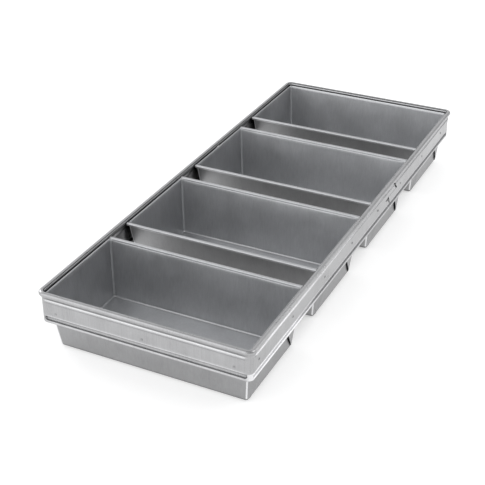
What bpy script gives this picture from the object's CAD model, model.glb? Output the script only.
import math

import bmesh
import bpy
from mathutils import Matrix, Vector, noise


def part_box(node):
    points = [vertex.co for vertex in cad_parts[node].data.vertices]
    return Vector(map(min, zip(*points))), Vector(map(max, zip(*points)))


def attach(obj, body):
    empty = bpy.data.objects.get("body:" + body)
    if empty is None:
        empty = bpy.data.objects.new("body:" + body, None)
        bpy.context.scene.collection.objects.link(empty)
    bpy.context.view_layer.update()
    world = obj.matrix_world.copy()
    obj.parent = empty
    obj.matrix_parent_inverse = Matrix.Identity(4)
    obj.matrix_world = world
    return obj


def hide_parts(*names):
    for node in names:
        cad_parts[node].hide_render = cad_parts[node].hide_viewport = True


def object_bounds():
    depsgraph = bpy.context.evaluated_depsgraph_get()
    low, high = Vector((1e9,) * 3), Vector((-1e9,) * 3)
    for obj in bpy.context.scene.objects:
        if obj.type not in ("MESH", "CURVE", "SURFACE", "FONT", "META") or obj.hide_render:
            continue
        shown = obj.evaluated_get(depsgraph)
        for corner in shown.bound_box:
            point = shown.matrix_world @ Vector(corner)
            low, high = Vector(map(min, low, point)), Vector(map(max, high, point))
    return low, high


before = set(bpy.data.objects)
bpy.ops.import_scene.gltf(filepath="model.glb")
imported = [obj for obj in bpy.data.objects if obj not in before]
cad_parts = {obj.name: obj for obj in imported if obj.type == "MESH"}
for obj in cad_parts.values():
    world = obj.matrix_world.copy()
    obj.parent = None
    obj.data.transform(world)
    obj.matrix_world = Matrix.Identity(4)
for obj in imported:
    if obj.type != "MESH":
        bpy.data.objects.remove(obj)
cad_box = [list(corner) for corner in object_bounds()]
MM = 0.001

# ---- sizes, read from the frame where a box gives them ----

SHEET = 0.9 * MM

STRAP_X, STRAP_Y, STRAP_TOP = cad_box[1]
STRAP_CORNER = 9.5 * MM
ROLL_RADIUS = 3.0 * MM
ROLL_Z = STRAP_TOP - ROLL_RADIUS
ROLL_SEAM = 20.0                    # width of the open seam, in degrees around the roll
BAND_SETBACK = 2.8 * MM
BEAD_Z = 64.9 * MM
BEAD_HALF = 1.9 * MM
BEAD_PROUD = 1.5 * MM
GROOVE_Z = 43.0 * MM
GROOVE_RADIUS = 2.8 * MM
GROOVE_MIDDLE = 3.2 * MM            # inset of the groove's middle from the strap's outermost line
GROOVE_LIP = 0.3 * MM               # how deep the rounded lips on both sides of the groove are
GROOVE_STOP = 1.0 * MM              # its round ends are centred this far short of the corners
SWELL_Z = GROOVE_Z + 3.7 * MM       # slight outward swell of the band above the groove
SWELL_HALF = 1.7 * MM
SWELL_PROUD = 0.45 * MM
WIPED_TO = -210.0 * MM              # how far along its right side the groove is wiped clean
# Heights between which the strap is rubbed brighter or dirtier: low, high, softness in mm, gain
BAND_WEAR = ((65.8, 66.5, 0.35, 0.75), (67.1, 70.0, 0.5, -0.38), (62.7, 63.9, 0.4, -0.16),
             (46.2, 47.2, 0.4, 0.35), (38.3, 39.9, 0.4, 0.35))
HEM_RADIUS = 1.6 * MM
HEM_CORNER_RADIUS = 0.75 * MM       # the hem is squeezed flatter round the corners
STRAP_WAVE = 0.28 * MM              # how far the band, the whole strap and its lower edge stray
STRAP_SWAY = 0.16 * MM
HEM_BOW = 0.14 * MM
STRAP_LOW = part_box("strap_long_piece")[0].z
HEM_Z = STRAP_LOW + HEM_RADIUS
JOINT_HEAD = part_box("strap_long_piece")[1].y
JOINT_RUN = 23.0 * MM               # along the side, from the joint's foot to its head
JOINT_FOOT = JOINT_HEAD - JOINT_RUN
JOINT_Z = 56.5 * MM
SLOT_FOOT = STRAP_LOW + 4.0 * MM    # heights between which the joint slants, and how far it does
SLOT_HEAD = STRAP_TOP - 6.8 * MM
FOOT_SLANT = 7.0 * MM
HEAD_SLANT = 12.0 * MM
JOINT_GAP = 0.4 * MM
SLOT = 2.0 * MM                     # half-width of the open slots beside the tongue
LAP_LOW = 5.0 * MM                  # how far the plate behind the joint reaches below and above it
LAP_HIGH = 6.0 * MM
LAP_GAP = 0.25 * MM
LAP_BEVEL = 0.12 * MM

RIMS = {1: [1], 2: [-1, 1], 3: [-1, 1], 4: [-1]}    # which of a pan's long edges are rolled
RIM_Z = sum(c.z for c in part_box("rim_wire_1_far")) / 2
RIM_RADIUS = 2.1 * MM
RIM_SHEET = 0.7 * MM
EDGE_Z = 71.4 * MM
EDGE_GAP = 1.0 * MM                 # between the pans' top edges and the strap's roll
TOP_X = STRAP_X - 2 * ROLL_RADIUS - EDGE_GAP    # half-length and half-width of a pan at its top edge
TOP_Y = 64.5 * MM
FLOOR_X = 112.75 * MM               # and at its floor
FLOOR_Y = 54.0 * MM
FLOOR_BEND = 3.0 * MM
PAN_CORNER = 3.5 * MM
PITCH = (STRAP_Y - 2 * ROLL_RADIUS - EDGE_GAP - TOP_Y) * 2 / 3
FOLD_TOP = 67.0 * MM
FOLD_SHEET = 0.9 * MM
FOLD_LEAN = math.tan(math.radians(33))
FOLD_LIFT = 1.6 * MM                # how far a fold's free edge stands off the wall,
FOLD_LIFT_REACH = 9 * MM            # and how far from that edge it touches the wall again
FOLD_WAVE = 0.3 * MM
EDGE_ROUND = 0.22 * MM              # rounding of a pan's top edge
FLOOR_CROWN = 0.55 * MM             # how high the floor rises between its bends
DENT_SLOW, DENT_FAST = 0.55, 0.12   # unevenness of the walls, in mm
RIM_WAVE, RIM_RISE = 0.18 * MM, 0.14 * MM

STUD_HEAD = 1.4 * MM
END_SHANK = 4.7 * MM                # length of a weld mark's shank on the ends, and on the long walls
WALL_SHANK = 7.5 * MM
STUD_Z = sum(c.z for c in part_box("studs_right_ends")) / 2
WALL_STUD_Z = sum(c.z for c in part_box("studs_near_wall")) / 2


def pan_y(k):
    return (k - 2.5) * PITCH


def half_length(z):
    return FLOOR_X + (TOP_X - FLOOR_X) * z / EDGE_Z


def half_width(z):
    return FLOOR_Y + (TOP_Y - FLOOR_Y) * z / EDGE_Z


def smooth(t):
    t = min(max(t, 0.0), 1.0)
    return t * t * (3 - 2 * t)


def mix(a, b, t):
    return a + (b - a) * t


# ---- mesh helpers ----


def arc(middle, radius, start, stop, steps):
    """Points on an arc, from angle start to angle stop in degrees, both ends included."""
    turns = [math.radians(mix(start, stop, i / steps)) for i in range(steps + 1)]
    return [(middle[0] + radius * math.cos(a), middle[1] + radius * math.sin(a)) for a in turns]


def make_object(name, verts, faces, material, sharp=35):
    mesh = bpy.data.meshes.new(name)
    mesh.from_pydata([tuple(v) for v in verts], [], faces)
    mesh.validate()
    mesh.shade_smooth()
    mesh.set_sharp_from_angle(angle=math.radians(sharp))
    obj = bpy.data.objects.new(name, mesh)
    bpy.context.scene.collection.objects.link(obj)
    obj.data.materials.append(material)
    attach(obj, "root")
    return obj


class Skin:
    """Verts and faces collected from rows of points."""

    def __init__(self):
        self.verts = []
        self.faces = []

    def rows(self, rows, close_columns=False, flip=False):
        """Quads between successive rows, each row a closed ring with the same number of points."""
        base = len(self.verts)
        count = len(rows[0])
        for row in rows:
            self.verts.extend(row)
        last_row = len(rows) if close_columns else len(rows) - 1
        for r in range(last_row):
            a0 = base + r * count
            b0 = base + (r + 1) % len(rows) * count
            for i in range(count):
                j = (i + 1) % count
                quad = (a0 + i, a0 + j, b0 + j, b0 + i)
                self.faces.append(quad[::-1] if flip else quad)
        return base

    def cap(self, start, count, flip=False):
        ring = list(range(start, start + count))
        self.faces.append(ring[::-1] if flip else ring)


# ---- materials: satin aluminised steel ----

# How fine each pattern on the metal is, in repeats per metre
BLOTCH_SCALE = 22
CLOUD_SCALE = 75
SCRATCH_SCALE = 260
SPOT_SCALE = 310
GRAIN_SCALE = 1500
# How much each pattern adds to the surface's height
STREAK_DEPTH = 0.35
GRAIN_DEPTH = 0.3
CLOUD_DEPTH = 0.3
SCRATCH_DEPTH = 0.25
BUMP_STRENGTH = 0.35
BUMP_REACH = 0.00008
CORNER_REACH = 0.006                # how far from a crease the dirt in it reaches


def node(tree, kind, **values):
    made = tree.nodes.new(kind)
    for key, value in values.items():
        setattr(made, key, value)
    return made


def noise_map(tree, source, scale, stretch=(1, 1, 1), turn=(0, 0, 0), detail=3.0, rough=0.5):
    mapping = node(tree, "ShaderNodeMapping")
    mapping.inputs["Scale"].default_value = stretch
    mapping.inputs["Rotation"].default_value = turn
    tree.links.new(source, mapping.inputs["Vector"])
    tex = node(tree, "ShaderNodeTexNoise")
    tex.inputs["Scale"].default_value = scale
    tex.inputs["Detail"].default_value = detail
    tex.inputs["Roughness"].default_value = rough
    tree.links.new(mapping.outputs["Vector"], tex.inputs["Vector"])
    return tex.outputs["Fac"]


def remap(tree, value, low, high, to_low, to_high):
    made = node(tree, "ShaderNodeMapRange")
    for name, number in (("From Min", low), ("From Max", high), ("To Min", to_low), ("To Max", to_high)):
        made.inputs[name].default_value = number
    tree.links.new(value, made.inputs["Value"])
    return made.outputs["Result"]


def math_node(tree, operation, a, b):
    made = node(tree, "ShaderNodeMath", operation=operation)
    for socket, value in zip(made.inputs, (a, b)):
        if isinstance(value, (int, float)):
            socket.default_value = value
        else:
            tree.links.new(value, socket)
    return made.outputs[0]


def band_mask(tree, value, low, high, soft):
    """1 where the value lies between low and high, easing to 0 over soft on both sides."""
    rise = remap(tree, value, low - soft, low, 0.0, 1.0)
    return math_node(tree, "MULTIPLY", rise, remap(tree, value, high, high + soft, 1.0, 0.0))


def pressed_shade(tree, place, open_sky, shade):
    """Strap: ridges rubbed bright, grime deep in the groove, and a stretch of the right side wiped clean."""
    split = node(tree, "ShaderNodeSeparateXYZ")
    tree.links.new(place, split.inputs[0])
    x, y, z = split.outputs
    on_right = remap(tree, x, STRAP_X - STRAP_CORNER, STRAP_X - 5 * MM, 0.0, 1.0)
    wiped = math_node(tree, "MULTIPLY", on_right, remap(tree, y, WIPED_TO, WIPED_TO + 60 * MM, 1.0, 0.0))
    deep = remap(tree, open_sky, 0.4, 0.82, 0.24, 1.0)
    deep = math_node(tree, "MAXIMUM", deep, wiped)
    groove = band_mask(tree, z, GROOVE_Z - GROOVE_RADIUS, GROOVE_Z + 2.4 * MM, 0.3 * MM)
    blend = node(tree, "ShaderNodeMix", data_type="FLOAT")
    for socket, value in ((0, groove), (2, shade), (3, deep)):
        tree.links.new(value, blend.inputs[socket])
    wear = 0.0
    for low, high, soft, gain in BAND_WEAR:
        stripe = math_node(tree, "MULTIPLY", band_mask(tree, z, low * MM, high * MM, soft * MM), gain)
        wear = math_node(tree, "ADD", wear, stripe)
    beside_x = remap(tree, math_node(tree, "ABSOLUTE", x, 0.0), STRAP_X - STRAP_CORNER - 4 * MM,
                     STRAP_X - STRAP_CORNER + 3 * MM, 0.0, 1.0)
    beside_y = remap(tree, math_node(tree, "ABSOLUTE", y, 0.0), STRAP_Y - STRAP_CORNER - 4 * MM,
                     STRAP_Y - STRAP_CORNER + 3 * MM, 0.0, 1.0)
    corner = math_node(tree, "MULTIPLY", beside_x, beside_y)
    wear = math_node(tree, "MULTIPLY", wear, math_node(tree, "SUBTRACT", 1.0, corner))
    clean = math_node(tree, "MULTIPLY", wiped, band_mask(tree, z, HEM_Z, GROOVE_Z + 2.5 * MM, MM))
    wear = math_node(tree, "ADD", wear, math_node(tree, "MULTIPLY", clean, 0.9))
    return math_node(tree, "MULTIPLY", blend.outputs[0], math_node(tree, "ADD", wear, 1.0))


def steel(name, dark, light, rough, streaks=(1, 1, 0.03), seed=0.0, streak_scale=620,
          stain=0.12, pressed=False):
    """Satin steel: drawn streaks, soft blotches, fine grain, stray scratches, small stains, bright edges."""
    mat = bpy.data.materials.new(name)
    mat.use_nodes = True
    tree = mat.node_tree
    tree.nodes.clear()
    out = node(tree, "ShaderNodeOutputMaterial")
    shader = node(tree, "ShaderNodeBsdfPrincipled")
    tree.links.new(shader.outputs["BSDF"], out.inputs["Surface"])
    shader.inputs["Metallic"].default_value = 1.0
    coord = node(tree, "ShaderNodeTexCoord")
    shift = node(tree, "ShaderNodeMapping")
    shift.inputs["Location"].default_value = (seed, seed * 0.7, seed * 0.3)
    tree.links.new(coord.outputs["Object"], shift.inputs["Vector"])
    place = shift.outputs["Vector"]

    streak = noise_map(tree, place, streak_scale, streaks, detail=4.0, rough=0.6)
    blotch = noise_map(tree, place, BLOTCH_SCALE, detail=4.0, rough=0.55)
    cloud = noise_map(tree, place, CLOUD_SCALE, (1, 1, 0.5), detail=5.0, rough=0.65)
    grain = noise_map(tree, place, GRAIN_SCALE, detail=2.0)
    scratch = noise_map(tree, place, SCRATCH_SCALE, (1, 1, 14), (0.5, 0.35, 0.8), detail=2.0, rough=0.4)
    spots = noise_map(tree, place, SPOT_SCALE, detail=1.0)
    pointed = node(tree, "ShaderNodeNewGeometry").outputs["Pointiness"]

    tone = math_node(tree, "ADD", remap(tree, streak, 0.3, 0.7, -0.16, 0.16),
                     remap(tree, blotch, 0.32, 0.68, 0.36, 0.64))
    tone = math_node(tree, "ADD", tone, remap(tree, cloud, 0.35, 0.65, -0.08, 0.08))
    tone = math_node(tree, "ADD", tone, remap(tree, grain, 0.3, 0.7, -0.14, 0.14))
    tone = math_node(tree, "ADD", tone, remap(tree, pointed, 0.52, 0.62, 0.0, 0.25))
    tone = math_node(tree, "SUBTRACT", tone, remap(tree, spots, 0.70, 0.76, 0.0, stain))
    ramp = node(tree, "ShaderNodeValToRGB")
    ramp.color_ramp.elements[0].color = (*dark, 1)
    ramp.color_ramp.elements[1].color = (*light, 1)
    tree.links.new(tone, ramp.inputs["Fac"])
    corner = node(tree, "ShaderNodeAmbientOcclusion", samples=6)
    corner.inputs["Distance"].default_value = CORNER_REACH
    shade = remap(tree, corner.outputs["AO"], 0.25, 0.85, 0.14, 1.0)
    if pressed:
        shade = pressed_shade(tree, coord.outputs["Object"], corner.outputs["AO"], shade)
    grime = node(tree, "ShaderNodeMix", data_type="RGBA", blend_type="MULTIPLY")
    grime.inputs["Factor"].default_value = 1.0
    tree.links.new(ramp.outputs["Color"], grime.inputs[6])
    tree.links.new(shade, grime.inputs[7])
    tree.links.new(grime.outputs[2], shader.inputs["Base Color"])

    gloss = math_node(tree, "ADD", remap(tree, blotch, 0.3, 0.7, rough - 0.025, rough + 0.025),
                      remap(tree, streak, 0.3, 0.7, -0.03, 0.03))
    gloss = math_node(tree, "SUBTRACT", gloss, remap(tree, scratch, 0.66, 0.72, 0.0, 0.08))
    tree.links.new(gloss, shader.inputs["Roughness"])

    height = math_node(tree, "ADD", math_node(tree, "MULTIPLY", streak, STREAK_DEPTH),
                       math_node(tree, "MULTIPLY", grain, GRAIN_DEPTH))
    height = math_node(tree, "SUBTRACT", height, remap(tree, scratch, 0.66, 0.72, 0.0, SCRATCH_DEPTH))
    height = math_node(tree, "ADD", height, math_node(tree, "MULTIPLY", cloud, CLOUD_DEPTH))
    bump = node(tree, "ShaderNodeBump")
    bump.inputs["Strength"].default_value = BUMP_STRENGTH
    bump.inputs["Distance"].default_value = BUMP_REACH
    tree.links.new(height, bump.inputs["Height"])
    tree.links.new(bump.outputs["Normal"], shader.inputs["Normal"])
    return mat


def grey(value, warm=0.0):
    return (value * (1 + warm), value, value * (1 - warm * 0.6) * 1.015)


PAN_STEEL = steel("pan_steel_satin", grey(0.42, -0.01), grey(0.62, -0.01), 0.40, seed=0.11)
STRAP_STEEL = steel("strap_steel_satin", grey(0.33), grey(0.51), 0.30, seed=1.7, streak_scale=700,
                    pressed=True)
OUTER_STEEL = steel("pan_steel_outside", grey(0.28), grey(0.42), 0.44, seed=0.53)
EDGE_STEEL = steel("pan_steel_rubbed_edge", grey(0.62), grey(0.86), 0.32, seed=0.9)
WIRE_STEEL = steel("wire_steel_drawn", grey(0.22), grey(0.42), 0.42, streaks=(0.03, 0.03, 1),
                   seed=3.1)
WELD_STEEL = steel("weld_steel_dull", grey(0.14), grey(0.36), 0.48, streaks=(1, 1, 1), seed=5.3,
                   stain=0.3)
FAINT_STEEL = steel("weld_steel_faint", grey(0.28), grey(0.48), 0.40, streaks=(1, 1, 1), seed=6.1,
                    stain=0.2)


# ---- strap ----


def strap_section(groove, bead, hem):
    """Closed section as (inset, height): open roll, band with bead and groove, rolled hem.

    groove and bead run from 0, plain band, to 1; hem is the hem's radius."""
    middle = (ROLL_RADIUS, ROLL_Z)
    half_seam = ROLL_SEAM / 2
    back = BAND_SETBACK + SHEET
    spread = max(groove, 0.35)

    def bead_out(z):
        t = (z - BEAD_Z) / BEAD_HALF
        return bead * BEAD_PROUD * math.cos(min(abs(t), 1.0) * math.pi / 2) ** 2

    def groove_point(angle, radius, face):
        a = math.radians(angle)
        full = GROOVE_MIDDLE + radius * math.cos(a)
        return (mix(face, full, groove), GROOVE_Z + radius * math.sin(a) * spread)

    bead_shares = (1.15, 0.85, 0.6, 0.35, 0.12, -0.12, -0.35, -0.6, -0.85, -1.15)
    bead_heights = [BEAD_Z + BEAD_HALF * t for t in bead_shares]
    swell_heights = [GROOVE_Z + d * MM for d in (5.4, 4.9, 4.5, 4.1, 3.7)]
    flats = [mix(BEAD_Z - 4 * MM, swell_heights[0] + 1.5 * MM, t) for t in (0, 0.33, 0.67, 1)]

    def swell_out(z):
        t = (z - SWELL_Z) / SWELL_HALF
        return groove * SWELL_PROUD * math.cos(min(abs(t), 1.0) * math.pi / 2) ** 2

    points = arc(middle, ROLL_RADIUS, 45 + half_seam, 262, 20)
    points += [(BAND_SETBACK - 0.02 * MM, ROLL_Z - 3.4 * MM), (BAND_SETBACK, ROLL_Z - 3.9 * MM)]
    points += [(BAND_SETBACK - bead_out(z), z) for z in bead_heights]
    points += [(BAND_SETBACK, z) for z in flats]
    points += [(BAND_SETBACK - swell_out(z), z) for z in swell_heights]
    points += [(BAND_SETBACK - swell_out(GROOVE_Z + 3.3 * MM), GROOVE_Z + 3.3 * MM),
               (BAND_SETBACK + groove * GROOVE_LIP, GROOVE_Z + 2.95 * MM)]
    points += [groove_point(a, GROOVE_RADIUS, BAND_SETBACK) for a in range(78, -79, -12)]
    points += [(BAND_SETBACK + groove * GROOVE_LIP, GROOVE_Z - 2.95 * MM),
               (BAND_SETBACK + groove * 0.04 * MM, GROOVE_Z - 3.25 * MM)]
    hem_middle = (BAND_SETBACK + hem, HEM_Z)
    points += arc(hem_middle, hem, 165, 420, 14)
    points += [groove_point(a, GROOVE_RADIUS + SHEET, back) for a in range(-56, 81, 12)]
    points += [(back, z) for z in reversed(flats)]
    points += [(back - bead_out(z), z) for z in reversed(bead_heights)]
    points += [(back, ROLL_Z - 3.7 * MM)]
    points += arc(middle, ROLL_RADIUS, 286, 405 - half_seam, 10)
    points += arc(middle, ROLL_RADIUS - SHEET, 405 - half_seam, 45 + half_seam, 26)
    return points


def side_marks(length):
    """Distances along a straight side, closer together near its ends."""
    near = [0.0, 0.5 * MM, 1.0 * MM, 2.5 * MM, 4.0 * MM, 7.0 * MM]
    inner = length - 2 * near[-1]
    steps = round(inner / (8 * MM))
    middle = [near[-1] + inner * i / steps for i in range(1, steps)]
    return near + middle + [length - d for d in reversed(near)]


CORNER_TURNS = (4, 8, 11, 13.5, 15, 16.5, 22, 30, 38, 45, 52, 60, 68, 73.5, 75, 76.5, 79, 82, 86)


def strap_stations():
    """Around the strap: (base point, outward direction, distance from the nearest corner).

    The distance is negative on a corner."""
    cx, cy = STRAP_X - STRAP_CORNER, STRAP_Y - STRAP_CORNER
    corners = [Vector((cx, -cy)), Vector((cx, cy)), Vector((-cx, cy)), Vector((-cx, -cy))]
    stations = []
    for i, corner in enumerate(corners):
        heading = math.radians(90 * i)
        out = Vector((math.cos(heading), math.sin(heading)))
        after = corners[(i + 1) % 4]
        length = (after - corner).length
        for d in side_marks(length):
            stations.append((corner.lerp(after, d / length), out, min(d, length - d)))
        for turn in CORNER_TURNS:
            a = heading + math.radians(turn)
            reach = math.radians(min(turn, 90 - turn)) * (STRAP_CORNER - BAND_SETBACK)
            stations.append((after, Vector((math.cos(a), math.sin(a))), -reach))
    return stations


def strap_skin():
    rows = []
    for base, out, d in strap_stations():
        past = GROOVE_STOP - d          # how far past the middle of the groove's round end
        groove = 1.0 if past <= 0 else math.sqrt(max(0.0, 1 - (past / GROOVE_RADIUS) ** 2))
        bead = smooth((d + 4 * MM) / (8 * MM))
        hem = mix(HEM_RADIUS, HEM_CORNER_RADIUS, smooth((-d - 2.6 * MM) / (1.8 * MM)))
        row = []
        for inset, z in strap_section(groove, bead, hem):
            p = base + out * (STRAP_CORNER - inset)
            band = smooth((z - HEM_Z - MM) / (6 * MM)) * smooth((ROLL_Z - ROLL_RADIUS - z) / (4 * MM))
            wave = noise.noise(Vector((p.x * 16, p.y * 16, z * 22))) * STRAP_WAVE * band
            sway = (noise.noise(Vector((p.x * 7, p.y * 7, 3.7))) - 0.6) * STRAP_SWAY
            low = smooth((HEM_Z + 5 * MM - z) / (8 * MM))
            bow = noise.noise(Vector((p.x * 9, p.y * 9, 8.1))) * HEM_BOW * low
            p = p + out * (wave + sway) * smooth((d + 3 * MM) / (12 * MM))
            row.append(Vector((p.x, p.y, z + bow)))
        rows.append(row)
    skin = Skin()
    skin.rows(rows, close_columns=True, flip=True)
    return skin


def prism(name, outline):
    """Closed block with this outline in Y and Z, wider than the strap."""
    reach = STRAP_X + 5 * MM
    count = len(outline)
    verts = [(-reach, y, z) for y, z in outline] + [(reach, y, z) for y, z in outline]
    faces = [tuple(range(count))[::-1], tuple(range(count, 2 * count))]
    faces += [(i, (i + 1) % count, count + (i + 1) % count, count + i) for i in range(count)]
    mesh = bpy.data.meshes.new(name)
    mesh.from_pydata(verts, [], faces)
    made = bmesh.new()
    made.from_mesh(mesh)
    bmesh.ops.recalc_face_normals(made, faces=made.faces)
    made.to_mesh(mesh)
    made.free()
    obj = bpy.data.objects.new(name, mesh)
    bpy.context.scene.collection.objects.link(obj)
    return obj


def cut(obj, steps):
    """Applies each (operation, cutter) to the object's mesh as an exact boolean."""
    for operation, cutter in steps:
        mod = obj.modifiers.new("cut", "BOOLEAN")
        mod.operation = operation
        mod.solver = "EXACT"
        mod.object = cutter
    shown = bpy.context.evaluated_depsgraph_get()
    mesh = bpy.data.meshes.new_from_object(obj.evaluated_get(shown))
    obj.modifiers.clear()
    obj.data = mesh
    mesh.shade_smooth()
    mesh.set_sharp_from_angle(angle=math.radians(35))


def beyond_joint(name, gap):
    foot, head = JOINT_FOOT, JOINT_HEAD
    low, high = STRAP_LOW - 5 * MM, STRAP_TOP + 5 * MM
    far = STRAP_Y + 5 * MM
    return prism(name, [(foot + gap, low), (foot + gap, SLOT_FOOT), (foot - FOOT_SLANT + gap, JOINT_Z - gap),
                        (head + gap, JOINT_Z - gap), (head - HEAD_SLANT + gap, SLOT_HEAD),
                        (head - HEAD_SLANT + gap, high), (far, high), (far, low)])


def strap_pieces():
    skin = strap_skin()
    foot, head = JOINT_FOOT - FOOT_SLANT, JOINT_HEAD - HEAD_SLANT
    lower = prism("cut_lower_slot", [
        (JOINT_FOOT - SLOT, SLOT_FOOT), (JOINT_FOOT + SLOT, SLOT_FOOT), (foot + SLOT, JOINT_Z),
        (foot - SLOT, JOINT_Z), (foot - 10 * MM, JOINT_Z - 2 * MM), (foot + 1 * MM, JOINT_Z - 5 * MM)])
    upper = prism("cut_upper_slot", [
        (JOINT_HEAD - SLOT, JOINT_Z), (JOINT_HEAD + SLOT, JOINT_Z), (head + SLOT, SLOT_HEAD),
        (head - SLOT, SLOT_HEAD)])
    far_near = beyond_joint("cut_far", 0.0)
    far_own = beyond_joint("cut_near", JOINT_GAP)
    long_piece = make_object("strap_long", skin.verts, skin.faces, STRAP_STEEL)
    short_piece = make_object("strap_short", skin.verts, skin.faces, STRAP_STEEL)
    cut(long_piece, [("DIFFERENCE", far_near), ("DIFFERENCE", lower), ("DIFFERENCE", upper)])
    cut(short_piece, [("INTERSECT", far_own), ("DIFFERENCE", lower), ("DIFFERENCE", upper)])
    for cutter in (lower, upper, far_near, far_own):
        bpy.data.objects.remove(cutter)
    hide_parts("strap_long_piece")
    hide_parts("strap_short_piece")


def lap(side):
    """Plate of the short piece that lies behind the long piece's tongue."""
    left, right = JOINT_FOOT - 1 * MM, JOINT_HEAD - 5 * MM
    outline = [(left, JOINT_Z - LAP_LOW), (right + 3 * MM, JOINT_Z - LAP_LOW),
               (right, JOINT_Z + 2 * MM), (right - 7 * MM, JOINT_Z + LAP_HIGH), (left, JOINT_Z + LAP_HIGH)]
    x0 = STRAP_X - BAND_SETBACK - SHEET - LAP_GAP
    middle = Vector((sum(p[0] for p in outline), sum(p[1] for p in outline))) / len(outline)
    rows = []
    for depth, inset in ((0, LAP_BEVEL), (LAP_BEVEL, 0), (SHEET - LAP_BEVEL, 0), (SHEET, LAP_BEVEL)):
        row = []
        for y, z in outline:
            toward = (middle - Vector((y, z))).normalized() * inset
            row.append((side * (x0 - depth), y + toward.x, z + toward.y))
        rows.append(row)
    skin = Skin()
    start = skin.rows(rows, flip=side > 0)
    skin.cap(start, len(outline), flip=side < 0)
    skin.cap(start + 3 * len(outline), len(outline), flip=side > 0)
    name = "strap_lap_right" if side > 0 else "strap_lap_left"
    made = make_object(name, skin.verts, skin.faces, WELD_STEEL)


# ---- pans ----

LONG_STEPS, SHORT_STEPS, TURN_STEPS = 30, 18, 6


def ring(k, z, inset):
    """Points round a pan at one height: (point, distance from the nearest corner, side it belongs to)."""
    hx, hy = half_length(z) - inset, half_width(z) - inset
    r = max(PAN_CORNER - inset, 0.5 * MM)
    centres = [(hx - r, -(hy - r)), (hx - r, hy - r), (-(hx - r), hy - r), (-(hx - r), -(hy - r))]
    names = [("end", 1), ("long", 1), ("end", -1), ("long", -1)]
    points = []
    for i, (cx, cy) in enumerate(centres):
        ax, ay = centres[(i + 1) % 4]
        a0 = 90.0 * i
        steps = SHORT_STEPS if names[i][0] == "end" else LONG_STEPS
        out = Vector((math.cos(math.radians(a0)), math.sin(math.radians(a0)), 0))
        length = math.hypot(ax - cx, ay - cy)
        for s in range(steps):
            t = s / steps
            p = Vector((mix(cx, ax, t), mix(cy, ay, t), z)) + out * r
            points.append((p, out, min(t, 1 - t) * length, names[i]))
        for s in range(TURN_STEPS):
            a = math.radians(a0 + 90.0 * s / TURN_STEPS)
            out = Vector((math.cos(a), math.sin(a), 0))
            points.append((Vector((ax, ay, z)) + out * r, out, 0.0, names[i] if s == 0 else None))
    return points


def dent(k, p, away):
    """Slight unevenness of a pan's sheet, the same on both of its faces."""
    w = smooth((p.z - 5 * MM) / (16 * MM)) * smooth((EDGE_Z - MM - p.z) / (10 * MM))
    w *= smooth(away / (14 * MM))
    slow = noise.noise(Vector((p.x * 15, p.y * 15, p.z * 16 + k * 5.3)))
    fast = noise.noise(Vector((p.x * 42, p.y * 42, p.z * 34 + k * 2.1)))
    return (slow * DENT_SLOW + fast * DENT_FAST) * MM * w


def pan(k):
    middle = Vector((0, pan_y(k), 0))
    levels = [8, 14, 20, 26, 32, 38, 44, 50, 56, 61, 65, 68]
    bend_steps = 5

    def level(z, inset, top=None):
        row = []
        for p, out, away, side in ring(k, z, inset):
            p = p + out * dent(k, p, away)
            if top is not None:
                drop = 0.0
                if side and side[0] == "long" and side[1] in RIMS[k]:
                    drop = (EDGE_Z - RIM_Z) * 1.1 * smooth(away / (2.5 * MM))
                p.z = EDGE_Z - top - drop
            row.append(p + middle)
        return row

    def floor_row(share, inset, z):
        row = []
        for p, out, away, side in ring(k, z, inset):
            rise = noise.noise(Vector((p.x * share * 14, p.y * share * 14, k * 3.9)))
            crown = (0.5 + 0.5 * rise) * FLOOR_CROWN
            row.append(Vector((p.x * share, p.y * share, z + crown * smooth((1 - share) * 4))) + middle)
        return row

    shares = (0.06, 0.2, 0.4, 0.6, 0.78, 0.92)
    outside = [floor_row(share, FLOOR_BEND, 0.0) for share in shares]
    inside = [floor_row(share, FLOOR_BEND, SHEET) for share in shares]
    for i in range(bend_steps + 1):
        turn = math.radians(90 * i / bend_steps)
        for rows, wall in ((outside, 0.0), (inside, SHEET)):
            r = FLOOR_BEND - wall
            rows.append(level(wall + r * (1 - math.cos(turn)), wall + r * (1 - math.sin(turn))))
    for z in levels:
        outside.append(level(z * MM, 0.0))
        inside.append(level(z * MM, SHEET))
    outside += [level(EDGE_Z, 0.0, top=EDGE_ROUND), level(EDGE_Z, EDGE_ROUND, top=0.0)]
    inside += [level(EDGE_Z, SHEET, top=EDGE_ROUND), level(EDGE_Z, SHEET - EDGE_ROUND, top=0.0)]
    skin = Skin()
    rows = outside + inside[::-1]
    start = skin.rows(rows)
    outer_faces = (len(outside) - 2) * len(rows[0])
    count = len(rows[0])
    skin.cap(start, count, flip=True)
    skin.cap(start + (len(rows) - 1) * count, count)
    for side in RIMS[k]:
        rolled_rim(skin, k, side)
    folds_from = len(skin.faces)
    edges = []
    for sx in (-1, 1):
        for sy in (-1, 1):
            edges += corner_fold(skin, k, sx, sy)
    made = make_object(f"loaf_pan_{k}", skin.verts, skin.faces, PAN_STEEL, sharp=40)
    made.data.materials.append(OUTER_STEEL)
    made.data.materials.append(EDGE_STEEL)
    for face in list(range(outer_faces)) + list(range(folds_from, len(skin.faces))):
        made.data.polygons[face].material_index = 1
    for face in edges:
        made.data.polygons[face].material_index = 2
    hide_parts(f"pan_{k}")


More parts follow.
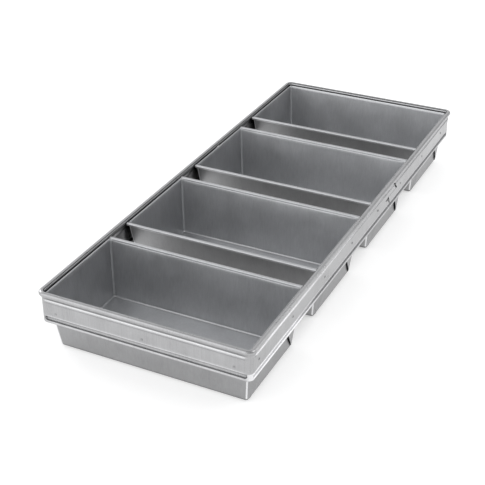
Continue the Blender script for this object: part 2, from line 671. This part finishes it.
def rolled_rim(skin, k, side):
    """Long edge rolled outward round a wire, with its seam tucked under against the wall."""
    wall = half_width(RIM_Z) - SHEET
    reach = TOP_X - 0.1 * MM
    steps, turns = 26, 22
    half_seam, seam_at = 9, 251         # degrees around the roll
    first, last = seam_at + half_seam, seam_at + 360 - half_seam
    outer = arc((RIM_RADIUS, RIM_Z), RIM_RADIUS, first, last, turns)
    inner = arc((RIM_RADIUS, RIM_Z), RIM_RADIUS - RIM_SHEET, last, first, turns)
    section = outer + inner
    rows = []
    for i in range(steps + 1):
        x = mix(-reach, reach, i / steps)
        ease = smooth((reach - abs(x)) / (20 * MM))
        wave = noise.noise(Vector((x * 13, k * 2.3, side * 1.7))) * RIM_WAVE * ease
        lift = noise.noise(Vector((x * 11, k * 4.1, side * 3.3))) * RIM_RISE * ease
        rows.append([Vector((x, pan_y(k) + side * (wall + w + wave), z + lift)) for w, z in section])
    start = skin.rows(rows, flip=side < 0)
    count = len(section)
    for end, flip in ((start, side < 0), (start + steps * count, side > 0)):
        for i in range(turns):
            quad = (end + i, end + i + 1, end + count - 2 - i, end + count - 1 - i)
            skin.faces.append(quad if flip else quad[::-1])


def corner_fold(skin, k, sx, sy):
    """Triangle of doubled sheet wrapped round a corner and pressed onto the end wall.

    Returns the faces along its rubbed edge."""
    foot = FLOOR_BEND + 0.5 * MM
    rows = []
    steps = 16
    for i in range(steps + 1):
        z = mix(foot, FOLD_TOP, i / steps)
        hx, hy = half_length(z), half_width(z)
        cx, cy = hx - PAN_CORNER, hy - PAN_CORNER
        free = half_width(foot) - PAN_CORNER - (z - foot) * FOLD_LEAN - 1.2 * MM
        width = cy - free
        open_gap = FOLD_LIFT * smooth((z - foot) / (6 * MM))
        wavy = noise.noise(Vector((z * 60, k * 1.9 + sx, sy * 2.7))) * FOLD_WAVE

        def gap(s):
            return open_gap * max(0.0, 1 - s / FOLD_LIFT_REACH) ** 2

        shares = [0.12 * MM, 0.5 * MM, 1.6 * MM, 3.5 * MM, 6 * MM, 9 * MM]
        spread = [min(s, width * (i + 1) / (len(shares) + 1)) for i, s in enumerate(shares)]
        slope = [(s, gap(s)) for s in spread] + [(mix(spread[-1], width, t), 0.0) for t in (0.33, 0.66, 1.0)]
        front = [(hx + open_gap + FOLD_SHEET * t, free + wavy) for t in (0.2, 0.8)]
        front += [(hx + h + FOLD_SHEET, free + wavy * (1 - s / width) + s) for s, h in slope]
        turn = [(0.9, 15), (0.78, 30), (0.6, 45), (0.36, 60), (-0.1, 75)]
        front += [(cx + (PAN_CORNER + h * FOLD_SHEET) * math.cos(math.radians(a)),
                   cy + (PAN_CORNER + h * FOLD_SHEET) * math.sin(math.radians(a))) for h, a in turn]
        tuck = PAN_CORNER - 0.4 * MM
        back = [(cx + tuck * math.cos(math.radians(a)), cy + tuck * math.sin(math.radians(a)))
                for a in (55, 30, 8)]
        back += [(hx + h - 0.15 * MM * smooth(s / (5 * MM)), free + wavy * (1 - s / width) + s)
                 for s, h in reversed(slope)]
        row = [Vector((sx * x, pan_y(k) + sy * y, z)) for x, y in front + back]
        rows.append(row)
    flip = sx * sy < 0
    first_face = len(skin.faces)
    start = skin.rows(rows, flip=flip)
    count = len(rows[0])
    skin.cap(start, count, flip=not flip)
    skin.cap(start + steps * count, count, flip=flip)
    rubbed = len(front) - 3             # the strip where the fold meets the long wall
    return [first_face + r * count + rubbed + i for r in range(steps) for i in (0, 1)]


# ---- weld marks ----


def weld_marks(name, places, replaced, material):
    """Small dimpled discs on the band, each on a short shank that reaches back to the pan's wall."""
    skin = Skin()
    profile = [(0.0, -0.1), (0.35, -0.06), (0.65, 0.06), (0.9, 0.2), (1.15, 0.22), (1.35, 0.1), (1.4, -0.15),
               (1.05, -0.2), (1.0, -1.2)]
    turns = 20
    for n, (place, out, shank) in enumerate(places):
        across = out.cross(Vector((0, 0, 1)))
        shape = profile + [(1.0, -shank / MM), (0.0, -shank / MM - 0.1)]
        rows = []
        for r, h in shape[1:-1]:
            row = []
            for i in range(turns):
                a = 2 * math.pi * i / turns
                uneven = 1 + 0.06 * noise.noise(Vector((math.cos(a) * 1.4, math.sin(a) * 1.4, n * 3.1)))
                row.append(place + (across * math.cos(a) + Vector((0, 0, 1)) * math.sin(a)) * r * uneven * MM
                           + out * h * MM)
            rows.append(row)
        start = skin.rows(rows, flip=True)
        for row, (r, h), flip in ((0, shape[0], False), (len(rows) - 1, shape[-1], True)):
            tip = len(skin.verts)
            skin.verts.append(place + out * h * MM)
            for i in range(turns):
                a, b = start + row * turns + i, start + row * turns + (i + 1) % turns
                skin.faces.append((b, a, tip) if flip else (a, b, tip))
    made = make_object(name, skin.verts, skin.faces, material, sharp=50)
    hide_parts(replaced)


def all_weld_marks():
    low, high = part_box("studs_right_ends")
    near = low.y - pan_y(1) + STUD_HEAD
    far = high.y - pan_y(4) - STUD_HEAD
    band = STRAP_X - BAND_SETBACK
    for side, label in ((1, "right"), (-1, "left")):
        places = [(Vector((side * band, pan_y(k) + y, STUD_Z)), Vector((side, 0, 0)), END_SHANK)
                  for k in (1, 2, 3, 4) for y in (near, far)]
        weld_marks(f"weld_marks_{label}", places, f"studs_{label}_ends", WELD_STEEL)
    band = STRAP_Y - BAND_SETBACK
    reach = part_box("studs_far_wall")[1].x - STUD_HEAD
    for side, label in ((1, "far"), (-1, "near")):
        places = [(Vector((x, side * band, WALL_STUD_Z)), Vector((0, side, 0)), WALL_SHANK)
                  for x in (-reach, 0, reach)]
        weld_marks(f"weld_marks_{label}", places, f"studs_{label}_wall", FAINT_STEEL)


# ---- build ----

strap_pieces()
lap(1)
lap(-1)
for k in (1, 2, 3, 4):
    pan(k)
all_weld_marks()
for name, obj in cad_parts.items():
    if "wire" in name:
        obj.data.materials.clear()
        obj.data.materials.append(WIRE_STEEL)

# ---- floor, light and camera ----

FLOOR_REACH = 6.0
UNDER_X, UNDER_Y, UNDER_SOFT = 0.09, 0.28, 0.03     # the floor glows less under the set
FLOOR_GLOW, UNDER_GLOW = 0.6, 0.3
ROOM_LEVEL = 0.55
GLOWS = [((-0.42, 0.76, 0.5), 0.4), ((-0.42, -0.83, 0.36), 1.0)]    # direction in the room, strength
# Name, place, the point it faces, size and power in watts
SOFTBOXES = [("right_far", (0.95, 0.75, 0.5), (0.1, -0.2, 0.05), (0.4, 0.4), 0.9),
             ("right", (1.1, 0.1, 1.05), (0, 0, 0.05), (0.8, 0.6), 3.6),
             ("left", (-1.3, 0.1, 0.75), (0, 0, 0.05), (0.8, 0.6), 5.2)]


def studio_floor():
    mat = bpy.data.materials.new("studio_floor")
    mat.use_nodes = True
    tree = mat.node_tree
    shader = tree.nodes["Principled BSDF"]
    coord = node(tree, "ShaderNodeTexCoord")
    soft = noise_map(tree, coord.outputs["Object"], 3.0, detail=2.0)
    ramp = node(tree, "ShaderNodeValToRGB")
    ramp.color_ramp.elements[0].color = (0.58, 0.58, 0.58, 1)
    ramp.color_ramp.elements[1].color = (0.62, 0.62, 0.62, 1)
    tree.links.new(soft, ramp.inputs["Fac"])
    tree.links.new(ramp.outputs["Color"], shader.inputs["Base Color"])
    shader.inputs["Roughness"].default_value = 0.9
    shader.inputs["Specular IOR Level"].default_value = 0.1
    shader.inputs["Emission Color"].default_value = (1, 1, 1, 1)
    split = node(tree, "ShaderNodeSeparateXYZ")
    tree.links.new(coord.outputs["Object"], split.inputs[0])
    under = math_node(tree, "MULTIPLY", band_mask(tree, split.outputs[0], -UNDER_X, UNDER_X, UNDER_SOFT),
                      band_mask(tree, split.outputs[1], -UNDER_Y, UNDER_Y, UNDER_SOFT))
    tree.links.new(remap(tree, under, 0.0, 1.0, FLOOR_GLOW, UNDER_GLOW), shader.inputs["Emission Strength"])
    r = FLOOR_REACH
    mesh = bpy.data.meshes.new("studio_floor")
    mesh.from_pydata([(-r, -r, 0), (r, -r, 0), (r, r, 0), (-r, r, 0)], [], [(0, 1, 2, 3)])
    obj = bpy.data.objects.new("studio_floor", mesh)
    mesh.materials.append(mat)
    bpy.context.scene.collection.objects.link(obj)
    obj.location.z = -0.2 * MM


def softbox(name, place, aim, size, power):
    data = bpy.data.lights.new(name, "AREA")
    data.shape = "RECTANGLE"
    data.size, data.size_y = size
    data.energy = power
    obj = bpy.data.objects.new(name, data)
    obj.location = place
    obj.rotation_euler = (Vector(aim) - Vector(place)).to_track_quat("-Z", "Y").to_euler()
    bpy.context.scene.collection.objects.link(obj)


def studio_light():
    """A pale room with two brighter stretches, behind the set and low in front of it, and softboxes."""
    world = bpy.data.worlds.new("studio")
    bpy.context.scene.world = world
    world.use_nodes = True
    tree = world.node_tree
    coord = node(tree, "ShaderNodeTexCoord").outputs["Generated"]
    level = ROOM_LEVEL
    for toward, strength in GLOWS:
        aim = node(tree, "ShaderNodeVectorMath", operation="DOT_PRODUCT")
        tree.links.new(coord, aim.inputs[0])
        aim.inputs[1].default_value = Vector(toward).normalized()
        level = math_node(tree, "ADD", level, remap(tree, aim.outputs["Value"], 0.6, 0.95, 0.0, strength))
    tree.links.new(level, tree.nodes["Background"].inputs["Strength"])
    tree.nodes["Background"].inputs["Color"].default_value = (0.99, 0.995, 1, 1)
    for box in SOFTBOXES:
        softbox(*box)


CAMERA_PLACE = (0.5013, -1.1022, 0.7038)
AZIMUTH, ELEVATION, ROLL = 26.78, 29.97, -0.49      # degrees
SENSOR, LENS = 36.0, 82.2
SHIFT_X, SHIFT_Y = 0.016, -0.0128


def camera():
    data = bpy.data.cameras.new("camera")
    data.sensor_width = SENSOR
    data.lens = LENS
    data.shift_x = SHIFT_X
    data.shift_y = SHIFT_Y
    data.clip_end = 50
    a, e, r = (math.radians(v) for v in (AZIMUTH, ELEVATION, ROLL))
    back = Vector((math.sin(a) * math.cos(e), -math.cos(a) * math.cos(e), math.sin(e)))
    right = Vector((math.cos(a), math.sin(a), 0))
    up = back.cross(right)
    x = right * math.cos(r) + up * math.sin(r)
    y = up * math.cos(r) - right * math.sin(r)
    obj = bpy.data.objects.new("camera", data)
    turn = Matrix((x, y, back)).transposed().to_4x4()
    obj.matrix_world = Matrix.Translation(Vector(CAMERA_PLACE)) @ turn
    bpy.context.scene.collection.objects.link(obj)
    bpy.context.scene.camera = obj


studio_floor()
studio_light()
camera()
bpy.context.scene.view_settings.view_transform = "Standard"
